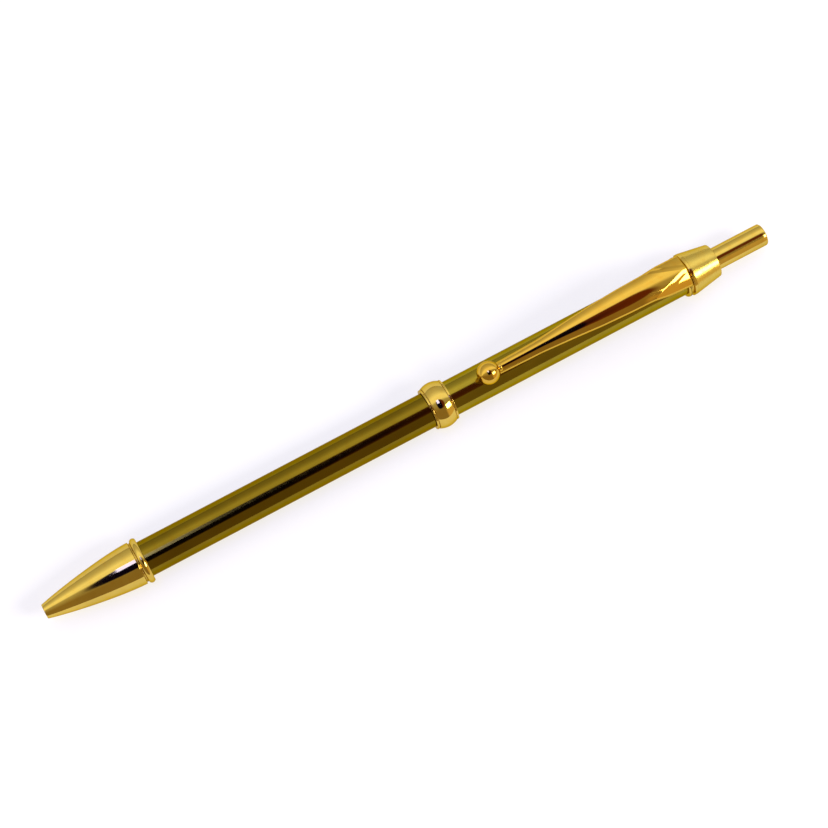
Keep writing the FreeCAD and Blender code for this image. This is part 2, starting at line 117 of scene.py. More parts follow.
# Cap and button: roundings, wall of the sleeve inside the cone, how much smaller than that sleeve the
# button is, and the length of the hole that guides it
CLIP_RING_EDGE = 0.34 * MM
SPACER_EDGE = 0.04 * MM
COLLAR_EDGE = 0.1 * MM
CONE_TOP_EDGE = 0.16 * MM
BUTTON_END_ROUND = 0.42 * MM
SLEEVE_WALL = 0.5 * MM
BUTTON_STEP = 0.4 * MM
GUIDE_LENGTH = 2.0 * MM


# ---------------------------------------------------------------- sizes and colours

class PenShapes(bpy.types.PropertyGroup):
    """Sizes of the turned and pressed shapes that the frame's boxes don't give"""

    edge: bpy.props.FloatProperty(
        name="Edge", description="Radius of the turned edges", default=0.06 * MM, unit="LENGTH")
    fine_edge: bpy.props.FloatProperty(
        name="Fine edge", description="Radius of the sharpest edges", default=0.025 * MM, unit="LENGTH")
    soft_edge: bpy.props.FloatProperty(
        name="Soft edge", description="Radius of the nib groove's edges", default=0.14 * MM, unit="LENGTH")
    wall: bpy.props.FloatProperty(
        name="Wall", description="Wall of the barrel tubes", default=0.35 * MM, unit="LENGTH")
    gap: bpy.props.FloatProperty(
        name="Gap", description="Clearance of sliding parts", default=0.05 * MM, unit="LENGTH")
    bushing_wall: bpy.props.FloatProperty(
        name="Bushing wall", description="Wall of the nib's bushing", default=0.4 * MM, unit="LENGTH")
    nib_groove: bpy.props.FloatProperty(
        name="Nib groove", description="Width of the groove before the nib's flange",
        default=0.4 * MM, unit="LENGTH")
    nib_flange: bpy.props.FloatProperty(
        name="Nib flange", description="Width of the nib's rounded flange",
        default=1.2 * MM, unit="LENGTH")
    nib_stand: bpy.props.FloatProperty(
        name="Nib stands out", description="How far the nib's wide end stands out from the barrel",
        default=0.78 * MM, unit="LENGTH")
    band_lip: bpy.props.FloatProperty(
        name="Band lip", description="Width of the lip at each edge of the centre band",
        default=0.35 * MM, unit="LENGTH")
    band_groove: bpy.props.FloatProperty(
        name="Band groove", description="Width of the groove inside each lip",
        default=0.15 * MM, unit="LENGTH")
    band_drop: bpy.props.FloatProperty(
        name="Band drop", description="Fall from the middle of the band's belly to its shoulders",
        default=0.41 * MM, unit="LENGTH")
    cone_top: bpy.props.FloatProperty(
        name="Cone top", description="Radius of the cap cone's small end",
        default=3.35 * MM, unit="LENGTH")
    flange_back: bpy.props.FloatProperty(
        name="Flange back", description="From the button's end to its hidden flange",
        default=13.35 * MM, unit="LENGTH")
    flange_width: bpy.props.FloatProperty(
        name="Flange width", description="Width of the button's hidden flange",
        default=1.1 * MM, unit="LENGTH")
    stem: bpy.props.FloatProperty(
        name="Stem", description="Radius of the button's hidden stem", default=1.6 * MM, unit="LENGTH")
    rim_width: bpy.props.FloatProperty(
        name="Rim width", description="Width of the clip's steep edges, seen from above",
        default=0.32 * MM, unit="LENGTH")
    rim_height: bpy.props.FloatProperty(
        name="Rim height", description="Height of the clip's steep edges", default=0.62 * MM, unit="LENGTH")
    leaf_sheet: bpy.props.FloatProperty(
        name="Leaf sheet", description="Thickness of the clip's leaf", default=0.5 * MM, unit="LENGTH")
    cone_collar: bpy.props.FloatProperty(
        name="Cone collar", description="Width of the polished collar at the cap cone's wide end",
        default=0.6 * MM, unit="LENGTH")
    spring_turns: bpy.props.FloatProperty(
        name="Spring turns", description="Turns of the nib spring, with its closed ends", default=14.0)
    spring_wire: bpy.props.FloatProperty(
        name="Spring wire", description="Radius of the spring's wire", default=0.2 * MM, unit="LENGTH")


class PenFinishes(bpy.types.PropertyGroup):
    """Colours and polish of the metals"""

    gold: bpy.props.FloatVectorProperty(
        name="Gold", description="Reflected colour of the gold plating", subtype="COLOR", size=3,
        default=(0.62, 0.44, 0.085), min=0.0, max=1.0)
    clip_gold: bpy.props.FloatVectorProperty(
        name="Clip gold", description="Reflected colour of the clip's plating", subtype="COLOR", size=3,
        default=(0.62, 0.385, 0.052), min=0.0, max=1.0)
    satin_gold: bpy.props.FloatVectorProperty(
        name="Satin gold", description="Reflected colour of the cap cone", subtype="COLOR", size=3,
        default=(0.62, 0.455, 0.09), min=0.0, max=1.0)
    lower_olive: bpy.props.FloatVectorProperty(
        name="Lower olive", description="Reflected colour of the lower barrel", subtype="COLOR", size=3,
        default=(0.20, 0.135, 0.009), min=0.0, max=1.0)
    upper_olive: bpy.props.FloatVectorProperty(
        name="Upper olive", description="Reflected colour of the upper barrel", subtype="COLOR", size=3,
        default=(0.29, 0.215, 0.019), min=0.0, max=1.0)
    polish: bpy.props.FloatProperty(
        name="Polish", description="Roughness of the polished gold", subtype="FACTOR",
        default=0.07, min=0.0, max=1.0)
    satin: bpy.props.FloatProperty(
        name="Satin", description="Roughness of the satin cap cone", subtype="FACTOR",
        default=0.24, min=0.0, max=1.0)
    barrel_polish: bpy.props.FloatProperty(
        name="Barrel polish", description="Roughness of the barrels", subtype="FACTOR",
        default=0.11, min=0.0, max=1.0)


class PenStudio(bpy.types.PropertyGroup):
    """Camera and lights"""

    distance: bpy.props.FloatProperty(
        name="Distance", description="From the camera to the pen's middle", default=0.400, unit="LENGTH")
    tilt: bpy.props.FloatProperty(
        name="Tilt", description="Lean of the camera towards the writing end", subtype="ANGLE",
        default=math.radians(8.0))
    swing: bpy.props.FloatProperty(
        name="Swing", description="Swing of the camera about the pen, towards -Y", subtype="ANGLE",
        default=math.radians(9.0))
    slope: bpy.props.FloatProperty(
        name="Slope", description="Angle of the pen in the picture", subtype="ANGLE",
        default=math.radians(27.74))
    lens: bpy.props.FloatProperty(
        name="Lens", description="Focal length on a 36 mm frame, in millimetres", default=92.17)
    aim_x: bpy.props.FloatProperty(
        name="Aim along", description="Place along the pen under the picture's middle",
        default=0.45 * MM, unit="LENGTH")
    aim_up: bpy.props.FloatProperty(
        name="Aim above", description="How far the picture's middle is above the pen's axis",
        default=0.58 * MM, unit="LENGTH")


# ---------------------------------------------------------------- shader maths

class Value:
    """One node output. Python's arithmetic on it adds Math nodes."""

    def __init__(self, tree, socket):
        self.tree = tree
        self.socket = socket

    def math(self, operation, *others):
        values = dict(enumerate((self,) + others))
        return add(self.tree, "ShaderNodeMath", {"operation": operation}, values)[0]

    def __add__(self, other):
        return self.math("ADD", other)

    __radd__ = __add__

    def __sub__(self, other):
        return self.math("SUBTRACT", other)

    def __rsub__(self, other):
        return (self * -1.0).math("ADD", other)

    def __mul__(self, other):
        return self.math("MULTIPLY", other)

    __rmul__ = __mul__

    def __truediv__(self, other):
        return self.math("DIVIDE", other)

    def __pow__(self, other):
        return self.math("POWER", other)

    def smooth(self, low, high):
        """0 below low, 1 above high, and an S-curve between."""
        settings = {"interpolation_type": "SMOOTHSTEP"}
        return add(self.tree, "ShaderNodeMapRange", settings, {0: self, 1: low, 2: high, 3: 0.0, 4: 1.0})[0]

    def ramp(self, low, high, start, end):
        return add(self.tree, "ShaderNodeMapRange", {}, {0: self, 1: low, 2: high, 3: start, 4: end})[0]


def add(tree, kind, settings=None, inputs=None):
    """Adds a node: its settings first, then its inputs, which are links or plain values. Returns outputs."""
    node = tree.nodes.new(kind)
    for name, value in (settings or {}).items():
        if name == "stops":
            elements = node.color_ramp.elements
            while len(elements) < len(value):
                elements.new(0.5)
            for element, (place, colour) in zip(elements, value):
                element.position = place
                element.color = (*colour, 1.0)
        else:
            setattr(node, name, value)
    for key, value in (inputs or {}).items():
        socket = node.inputs[key]
        if isinstance(value, Value):
            tree.links.new(value.socket, socket)
        elif socket.type == "RGBA" and len(value) == 3:
            socket.default_value = (*value, 1.0)
        else:
            socket.default_value = value
    return [Value(tree, out) for out in node.outputs]


def mix(tree, share, first, second):
    """Colour between two colours."""
    settings = {"data_type": "RGBA"}
    return add(tree, "ShaderNodeMix", settings, {0: share, 6: first, 7: second})[2]


def scaled(tree, colour, factor):
    """Colour times a number."""
    settings = {"data_type": "RGBA", "blend_type": "MULTIPLY"}
    grey = add(tree, "ShaderNodeCombineColor", {}, {0: factor, 1: factor, 2: factor})[0]
    return add(tree, "ShaderNodeMix", settings, {0: 1.0, 6: colour, 7: grey})[2]


def noise(tree, place, scale, detail=3.0, roughness=0.55):
    inputs = {"Vector": place, "Scale": scale, "Detail": detail, "Roughness": roughness}
    return add(tree, "ShaderNodeTexNoise", {}, inputs)[0]


def new_material(name):
    """Empty node material with its output."""
    material = bpy.data.materials.new(name)
    material.use_nodes = True
    material.node_tree.nodes.clear()
    return material, material.node_tree


def finish_surface(tree, constants, colour, roughness, height, depth):
    """Principled surface with a bump whose height is in metres."""
    bump = add(tree, "ShaderNodeBump", {}, {"Strength": 1.0, "Distance": depth, "Height": height})[0]
    inputs = dict(constants)
    inputs.update({"Base Color": colour, "Roughness": roughness, "Normal": bump})
    shader = add(tree, "ShaderNodeBsdfPrincipled", {}, inputs)[0]
    add(tree, "ShaderNodeOutputMaterial", {}, {"Surface": shader})


def centred_place(tree):
    """Object place, centred on the pen's axis."""
    place = add(tree, "ShaderNodeTexCoord")[3]
    return add(tree, "ShaderNodeMapping", {}, {"Vector": place, "Location": (0.0, 0.0, -AXIS_Z)})[0]


def stretched(tree, vector, scales):
    return add(tree, "ShaderNodeMapping", {}, {"Vector": vector, "Scale": scales})[0]


def polished_metal(name, colour, roughness, seed):
    """Polished plating: soft colour drift, faint polishing lines round the pen, hairline scratches along it,
    and tiny pits. The seed moves the pattern, so that no two pieces share it."""
    tint = 0.06
    material, tree = new_material(name)
    centred = centred_place(tree)
    moved = add(tree, "ShaderNodeMapping", {}, {"Vector": centred, "Location": (seed, seed * 0.7, -seed)})[0]
    drift = noise(tree, moved, 160.0, 2.0)
    mottle = noise(tree, moved, 900.0, 3.0)
    rings = noise(tree, stretched(tree, moved, (9000.0, 240.0, 240.0)), 1.0, 2.0)
    hairs = noise(tree, stretched(tree, moved, (220.0, 8000.0, 8000.0)), 1.0, 2.0)
    marks = hairs.smooth(0.62, 0.75) * noise(tree, moved, 300.0, 1.0).smooth(0.5, 0.66)
    pits = noise(tree, moved, 6000.0, 1.0).smooth(0.74, 0.8)
    shade = drift.ramp(0.3, 0.7, 1.0 - tint, 1.0 + tint) * (1.0 - marks * 0.10)
    warm = tuple(c * f for c, f in zip(colour, (1.0, 0.93, 0.80)))
    base = scaled(tree, mix(tree, mottle.smooth(0.45, 0.75), colour, warm), shade)
    rough = mottle.ramp(0.3, 0.7, roughness * 0.85, roughness * 1.2) + marks * 0.12 + pits * 0.1
    height = rings * 0.35 + marks * -0.8 - pits * 1.5
    constants = {"Metallic": 1.0, "Specular Tint": (0.70, 0.56, 0.28)}
    finish_surface(tree, constants, base, rough, height, 0.0006 * MM)
    return material


def turned_metal(name, colour, roughness, groove=0.12 * MM):
    """Machined bar: fine tool lines round the axis and a little tarnish."""
    material, tree = new_material(name)
    centred = centred_place(tree)
    x = add(tree, "ShaderNodeSeparateXYZ", {}, {0: centred})[0]
    lines = (x * (2.0 * math.pi / groove) + noise(tree, centred, 500.0) * 3.0).math("SINE")
    tarnish = noise(tree, centred, 420.0, 4.0).smooth(0.45, 0.7)
    dull = tuple(c * f for c, f in zip(colour, (0.66, 0.58, 0.5)))
    base = mix(tree, tarnish * 0.55, colour, dull)
    rough = tarnish.ramp(0.0, 1.0, roughness, roughness + 0.14)
    finish_surface(tree, {"Metallic": 1.0}, base, rough, lines, 0.0015 * MM)
    return material


def drawn_metal(name, colour, roughness):
    """Drawn tube or wire: long scratches along it, faint stains."""
    material, tree = new_material(name)
    centred = centred_place(tree)
    scratches = noise(tree, stretched(tree, centred, (300.0, 9000.0, 9000.0)), 1.0, 3.0)
    stains = noise(tree, centred, 260.0, 4.0).smooth(0.45, 0.7)
    dull = tuple(c * 0.72 for c in colour)
    base = mix(tree, stains * 0.5, colour, dull)
    rough = scratches.ramp(0.3, 0.7, roughness * 0.8, roughness * 1.3)
    finish_surface(tree, {"Metallic": 1.0}, base, rough, scratches, 0.001 * MM)
    return material


def moulded_plastic(name, colour):
    """Acetal: off-white, faintly waxy, with a fine moulded grain."""
    material, tree = new_material(name)
    centred = centred_place(tree)
    grain = noise(tree, centred, 5000.0, 3.0)
    flow = noise(tree, stretched(tree, centred, (150.0, 900.0, 900.0)), 1.0, 3.0)
    base = mix(tree, flow.smooth(0.35, 0.7) * 0.5, colour, tuple(c * 0.86 for c in colour))
    rough = grain.ramp(0.3, 0.7, 0.36, 0.5)
    constants = {"Metallic": 0.0, "Subsurface Weight": 0.08, "Subsurface Scale": 0.6 * MM}
    finish_surface(tree, constants, base, rough, grain, 0.002 * MM)
    return material


def paste_ink(name, colour):
    material, tree = new_material(name)
    centred = centred_place(tree)
    swirl = noise(tree, centred, 700.0, 4.0)
    base = mix(tree, swirl.smooth(0.4, 0.7), colour, (0.02, 0.02, 0.06))
    finish_surface(tree, {"Metallic": 0.0}, base, swirl.ramp(0.3, 0.7, 0.12, 0.3), swirl, 0.003 * MM)
    return material


# ---------------------------------------------------------------- surfaces

def grid_object(name, points, close_u=False):
    """Mesh through a grid of points, array (u, v, 3): each cell is a quad, v closes on itself, and u may.
    Rows that meet in one point are merged, so that poles are closed."""
    rows, columns = points.shape[:2]
    index = np.arange(rows * columns).reshape(rows, columns)
    if close_u:
        index = np.vstack([index, index[:1]])
    index = np.hstack([index, index[:, :1]])
    quads = np.stack([index[:-1, :-1], index[:-1, 1:], index[1:, 1:], index[1:, :-1]], -1).reshape(-1, 4)
    mesh = bpy.data.meshes.new(name)
    mesh.vertices.add(rows * columns)
    mesh.vertices.foreach_set("co", points.reshape(-1).astype(np.float32))
    mesh.loops.add(quads.size)
    mesh.loops.foreach_set("vertex_index", quads.reshape(-1).astype(np.int32))
    mesh.polygons.add(len(quads))
    mesh.polygons.foreach_set("loop_start", np.arange(0, quads.size, 4, dtype=np.int32))
    mesh.update(calc_edges=True)
    work = bmesh.new()
    work.from_mesh(mesh)
    bmesh.ops.remove_doubles(work, verts=work.verts, dist=1e-8)
    bmesh.ops.dissolve_degenerate(work, edges=work.edges, dist=1e-8)
    bmesh.ops.recalc_face_normals(work, faces=work.faces)
    work.to_mesh(mesh)
    work.free()
    mesh.shade_smooth()
    piece = bpy.data.objects.new(name, mesh)
    bpy.context.scene.collection.objects.link(piece)
    return piece


def filleted(corners):
    """Closed outline of rounded corners. Each corner (x, r, radius) becomes an arc that touches both of its
    sides: its ends lie radius / tan(half the corner's angle) from the corner, its middle points follow the
    circle between them, and one more point on each side keeps the flats flat when shaded smoothly."""
    rows = np.array(corners, float)
    corner, size = rows[:, :2], rows[:, 2]
    before = np.roll(corner, 1, axis=0) - corner
    after = np.roll(corner, -1, axis=0) - corner
    length_b = np.linalg.norm(before, axis=1)
    length_a = np.linalg.norm(after, axis=1)
    before /= length_b[:, None]
    after /= length_a[:, None]
    half = np.arccos(np.clip((before * after).sum(1), -1, 1)) / 2
    reach = size / np.tan(np.maximum(half, 1e-6))
    reach = np.minimum(reach, 0.45 * np.minimum(length_a, length_b))
    size = reach * np.tan(half)
    middle = before + after
    middle /= np.maximum(np.linalg.norm(middle, axis=1), 1e-12)[:, None]
    centre = corner + middle * (size / np.maximum(np.sin(half), 1e-6))[:, None]
    first = corner + before * reach[:, None]
    last = corner + after * reach[:, None]
    share = np.linspace(0, 1, ARC_STEPS + 1)[None, :, None]
    spoke = (first - centre)[:, None] * (1 - share) + (last - centre)[:, None] * share
    spoke /= np.maximum(np.linalg.norm(spoke, axis=2, keepdims=True), 1e-12)
    arc = centre[:, None] + spoke * size[:, None, None]
    hold = np.minimum(1.5 * size, 0.4 * (np.minimum(length_a, length_b) - reach))[:, None]
    arc = np.concatenate([(first + before * hold)[:, None], arc, (last + after * hold)[:, None]], axis=1)
    arc = np.where((size > 1e-9)[:, None, None], arc, corner[:, None])
    path = arc.reshape(-1, 2)
    keep = np.linalg.norm(path - np.roll(path, 1, axis=0), axis=1) > 1e-8
    return path[keep]


def lathe(name, outline):
    """Surface of revolution about the pen's axis: each outline point (x, r) turned through angle a is
    (x, r sin a, axis height + r cos a)."""
    angle = np.linspace(0, 2 * math.pi, TURN_STEPS, endpoint=False)
    x = np.broadcast_to(outline[:, :1], (len(outline), TURN_STEPS))
    y = outline[:, 1:] * np.sin(angle)
    z = AXIS_Z + outline[:, 1:] * np.cos(angle)
    return grid_object(name, np.stack([x, y, z], -1), close_u=True)


def place_piece(piece, material, body, slot, *nodes):
    """Gives a finished piece its material and body, and hides the CAD nodes that it stands for. The slot is
    not used.
    """
    piece.data.materials.clear()
    piece.data.materials.append(material)
    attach(piece, body)
    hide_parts(*nodes)


def span(node):
    """Lowest and highest X of a CAD node, and its greatest distance from the axis in Z."""
    low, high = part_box(node)
    return low.x, high.x, max(high.z - AXIS_Z, AXIS_Z - low.z)


# ---------------------------------------------------------------- outlines

def bezier(first, first_pull, last_pull, last, steps):
    """Cubic Bezier curve through an array of shares of its length."""
    share = np.linspace(0, 1, steps)[:, None]
    back = 1 - share
    points = [np.array(p) for p in (first, first_pull, last_pull, last)]
    weights = (back ** 3, 3 * back ** 2 * share, 3 * back * share ** 2, share ** 3)
    return sum(w * p for w, p in zip(weights, points))


def bow(x0, x1, foot, top, steps):
    """Arc of the circle that passes through both feet and rises to its top halfway between them."""
    half = (x1 - x0) / 2
    rise = top - foot
    radius = (half ** 2 + rise ** 2) / (2 * rise)
    x = np.linspace(-half, half, steps)
    return np.column_stack([x + (x0 + x1) / 2, top - radius + np.sqrt(radius ** 2 - x ** 2)])


def smooth_rows(points, first=0.0, last=0.0):
    """Outline rows for the points of a smooth curve, with a rounded corner at either end if one is given."""
    sizes = np.zeros(len(points))
    sizes[0] = first
    sizes[-1] = last
    return [(x, r, size) for (x, r), size in zip(points, sizes)]


def eased(x, places, values, reach):
    """Straight lines between given places, rounded off: at each x, their mean over a reach to either side."""
    around = np.linspace(-reach, reach, 41)
    return np.interp(x[:, None] + around, places, values).mean(1)


# ---------------------------------------------------------------- operators

class PEN_OT_barrels(bpy.types.Operator):
    """Both barrel tubes, with rounded ends"""

    bl_idname = "pen.barrels"
    bl_label = "Barrels"

    def execute(self, context):
        shapes = context.scene.pen_shapes
        looks = context.scene.pen_finishes
        rows = (
            ("lower_barrel", "lower_half", looks.lower_olive, 0.0),
            ("upper_barrel", "upper_half", looks.upper_olive, 0.31),
        )
        for node, body, colour, seed in rows:
            x0, x1, outer = span(node)
            inner = outer - shapes.wall
            e = shapes.fine_edge
            outline = filleted([(x0, inner, e), (x0, outer, e), (x1, outer, e), (x1, inner, e)])
            material = polished_metal(node + "_olive", tuple(colour), looks.barrel_polish, seed=seed)
            place_piece(lathe(node + "_tube", outline), material, body, "olive_brass", node)
        return {"FINISHED"}


class PEN_OT_nib(bpy.types.Operator):
    """Nib: ogive, groove, rounded flange and spigot"""

    bl_idname = "pen.nib"
    bl_label = "Nib"

    def execute(self, context):
        shapes = context.scene.pen_shapes
        x0, x1, bead = span("nib_cone")
        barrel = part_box("lower_barrel")[0].x
        groove1 = barrel - shapes.nib_flange
        groove0 = groove1 - shapes.nib_groove
        wide = TUBE_R + shapes.nib_stand
        groove_r = wide - NIB_GROOVE_DEPTH
        bead_foot = bead - NIB_FLANGE_CROWN
        bore = span("refill_tip")[2] + shapes.gap
        mouth = bore + NIB_MOUTH_WALL
        inner = span("refill_holder")[2] + HOLDER_ROOM
        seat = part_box("nib_spring")[0].x - shapes.gap
        spigot = TUBE_R - shapes.wall - shapes.bushing_wall
        e = shapes.edge
        fine = shapes.fine_edge
        ogive = bezier(
            (x0 + NIB_MOUTH_CHAMFER, mouth),
            (x0 + OGIVE_MOUTH_PULL[0], mouth + OGIVE_MOUTH_PULL[1]),
            (groove0 - OGIVE_BACK_PULL, wide),
            (groove0, wide), 90)
        corners = [(x0, bore, fine), (x0, mouth - NIB_MOUTH_LIP, NIB_MOUTH_ROUND)]
        corners += smooth_rows(ogive, 0.0, shapes.soft_edge)
        corners += [(groove0 + NIB_GROOVE_SLANT, groove_r, shapes.soft_edge)]
        corners += [(groove1 - NIB_GROOVE_SLANT, groove_r, shapes.soft_edge)]
        corners += smooth_rows(bow(groove1, barrel, bead_foot, bead, 31))
        corners += [(barrel, spigot, fine), (x1, spigot, e), (x1, inner, fine)]
        corners += [(seat, inner, fine), (seat, bore, fine)]
        looks = context.scene.pen_finishes
        gold = polished_metal("nib_gold", tuple(looks.gold), looks.polish, seed=0.12)
        place_piece(lathe("nib_shell", filleted(corners)), gold, "lower_half", "gold_plate", "nib_cone")
        return {"FINISHED"}


class PEN_OT_band(bpy.types.Operator):
    """Centre band: two lips, two grooves and a rounded belly"""

    bl_idname = "pen.band"
    bl_label = "Centre band"

    def execute(self, context):
        shapes = context.scene.pen_shapes
        looks = context.scene.pen_finishes
        x0, x1, top = span("centre_band")
        inner = TUBE_R - shapes.wall - BAND_REACH
        lip = TUBE_R + BAND_LIP_STAND
        groove = lip - BAND_GROOVE_DEPTH
        shoulder = top - shapes.band_drop
        lip0 = x0 + shapes.band_lip
        lip1 = x1 - shapes.band_lip
        belly = bow(lip0 + shapes.band_groove, lip1 - shapes.band_groove, shoulder, top, 49)
        e = shapes.edge
        fine = shapes.fine_edge
        corners = [(x0, inner, fine), (x0, lip, e), (lip0, lip, e)]
        corners += [(lip0 + BAND_LIP_SLANT, groove, fine)]
        corners += [(lip0 + shapes.band_groove - BAND_GROOVE_SLANT, groove, fine)]
        corners += smooth_rows(belly, BELLY_EDGE, BELLY_EDGE)
        corners += [(lip1 - shapes.band_groove + BAND_GROOVE_SLANT, groove, fine)]
        corners += [(lip1 - BAND_LIP_SLANT, groove, fine), (lip1, lip, e), (x1, lip, e), (x1, inner, fine)]
        gold = polished_metal("band_gold", tuple(looks.gold), looks.polish, seed=0.2)
        place_piece(lathe("band_ring", filleted(corners)), gold, "band", "gold_plate", "centre_band")
        return {"FINISHED"}


class PEN_OT_cap(bpy.types.Operator):
    """Clip ring, spacer, cap cone and push button"""

    bl_idname = "pen.cap"
    bl_label = "Cap and button"

    def execute(self, context):
        shapes = context.scene.pen_shapes
        looks = context.scene.pen_finishes
        e = shapes.edge
        fine = shapes.fine_edge
        gold = polished_metal("cap_gold", tuple(looks.gold), looks.polish, seed=0.43)
        satin = polished_metal("cone_gold", tuple(looks.satin_gold), looks.satin, seed=0.5)
        inner = TUBE_R - shapes.wall
        for node, size in (("clip_ring", CLIP_RING_EDGE), ("spacer_ring", SPACER_EDGE)):
            x0, x1, outer = span(node)
            outline = filleted([(x0, inner, fine), (x0, outer, size), (x1, outer, size), (x1, inner, fine)])
            place_piece(lathe(node + "_turned", outline), gold, "upper_half", "gold_plate", node)
        x0, x1, base = span("cap_cone")
        base_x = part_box("spacer_ring")[1].x
        sleeve_bore = inner - SLEEVE_WALL
        button_r = sleeve_bore - BUTTON_STEP
        guide_r = button_r + shapes.gap
        guide_x = x1 - GUIDE_LENGTH
        collar_x = base_x + shapes.cone_collar
        collar = [(base_x, inner, fine), (base_x, base, COLLAR_EDGE)]
        collar += [(collar_x, base, fine), (collar_x, inner, fine)]
        place_piece(lathe("cone_collar", filleted(collar)), gold, "upper_half", "gold_plate", "cap_cone")
        cone = [(x0, sleeve_bore, fine), (x0, inner, fine), (collar_x, inner, fine), (collar_x, base, e)]
        cone += [(x1, shapes.cone_top, CONE_TOP_EDGE), (x1, guide_r, e), (guide_x, guide_r, fine)]
        cone += [(guide_x, sleeve_bore, fine)]
        place_piece(lathe("cone_shell", filleted(cone)), satin, "upper_half", "gold_plate", "cap_cone")
        x0, x1, _ = span("push_button")
        flange1 = x1 - shapes.flange_back
        flange0 = flange1 - shapes.flange_width
        flange_r = sleeve_bore - shapes.gap
        rod = [(x0, 0, 0), (x0, shapes.stem, e), (flange0, shapes.stem, fine), (flange0, flange_r, e)]
        rod += [(flange1, flange_r, e), (flange1, button_r, fine), (x1, button_r, BUTTON_END_ROUND)]
        rod += [(x1, 0, 0)]
        place_piece(lathe("button_rod", filleted(rod)), gold, "button", "gold_plate", "push_button")
        return {"FINISHED"}


class PEN_OT_clip(bpy.types.Operator):
    """Clip: fluted leaf with rolled edges, its foot, and the ball with its neck"""

    bl_idname = "pen.clip"
    bl_label = "Clip"

    def execute(self, context):
        shapes = context.scene.pen_shapes
        looks = context.scene.pen_finishes
        gold = polished_metal("clip_gold", tuple(looks.clip_gold), looks.polish, seed=0.77)
        leaf_x0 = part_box("clip_collar")[1].x - LEAF_OVER_COLLAR
        leaf_x1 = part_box("clip_arm")[1].x
        leaf = grid_object("clip_leaf", clip_leaf(shapes, leaf_x0, leaf_x1))
        place_piece(leaf, gold, "clip", "gold_plate", "clip_arm")
        foot = grid_object("clip_foot", clip_foot(leaf_x1))
        place_piece(foot, gold, "clip", "gold_plate", "clip_arm")
        ball = grid_object("clip_knob", clip_knob())
        place_piece(ball, gold, "clip", "gold_plate", "clip_ball", "clip_collar")
        return {"FINISHED"}


def clip_leaf(shapes, x0, x1):
    """Grid of the clip's leaf, over place along it and place across it. Its middle is a crown, an arc of a
    circle across the leaf, less the depth of the flutes near its root. A flute's depth depends only on the
    distance across less a share of the distance to the end, so it starts at the rim and slants inwards. The
    edges are steep rims, the last part of an ellipse's quarter: out by rim width and down by rim height,
    ending upright. The underside follows the crown at the sheet's thickness and is level under the rims. At
    both ends top and underside close on each other in a rounded edge."""
    length = x1 - x0
    turn = np.linspace(0, math.pi / 2, 8)
    tips = LEAF_END_ROUND * (1 - np.cos(turn))
    blade_steps = 120
    root_steps = 200
    x = np.unique(np.concatenate([
        x0 + tips, np.linspace(x0 + LEAF_END_ROUND, x1 - LEAF_ROOT, blade_steps),
        np.linspace(x1 - LEAF_ROOT, x1 - LEAF_END_ROUND, root_steps), x1 - tips]))
    share = (x - x0) / length
    half = eased(share, *LEAF_WIDTH, 0.02) / 2 * MM
    middle = AXIS_Z + TUBE_R + eased(share, *LEAF_HEIGHT, 0.03) * MM
    rise = (eased(share, *LEAF_CROWN, 0.08) * MM)[:, None]
    flat = (half - shapes.rim_width)[:, None]
    across_steps = 97
    across = np.linspace(-1, 1, across_steps)
    start = math.radians(55)
    bend = np.linspace(start, math.pi / 2, 9)[1:]
    out = (np.sin(bend) - math.sin(start)) / (1 - math.sin(start))
    down = (math.cos(start) - np.cos(bend)) / math.cos(start)
    reach = np.concatenate([-out[::-1], np.zeros(len(across)), out])
    fall = np.concatenate([down[::-1], np.zeros(len(across)), down])
    on_crown = np.concatenate([-np.ones(len(out)), across, np.ones(len(out))])
    y = flat * on_crown + reach * shapes.rim_width
    radius = (flat ** 2 + rise ** 2) / (2 * rise)
    inside = np.minimum(np.abs(y), flat)
    arc = np.sqrt(radius ** 2 - inside ** 2) - radius + rise
    to_end = (x1 - x)[:, None]
    depth = np.interp((inside - FLUTE_DRAFT * to_end) / MM, *FLUTE) * MM
    crown_z = (middle + LEAF_LIFT)[:, None] + arc - depth
    top_z = crown_z - fall * shapes.rim_height
    low_z = crown_z - np.where(np.abs(on_crown) < 1, shapes.leaf_sheet, shapes.rim_height)
    mid_z = (top_z + low_z) / 2
    from_tip = np.minimum(x - x0, x1 - x)
    fat = np.sqrt(1 - (1 - np.minimum(from_tip / LEAF_END_ROUND, 1)) ** 2)[:, None]
    along = np.broadcast_to(x[:, None], y.shape)
    upper = np.stack([along, y, mid_z + fat * (top_z - mid_z)], -1)
    lower = np.stack([along, y, mid_z + fat * (low_z - mid_z)], -1)
    return np.concatenate([upper, lower[:, -2:0:-1]], 1)


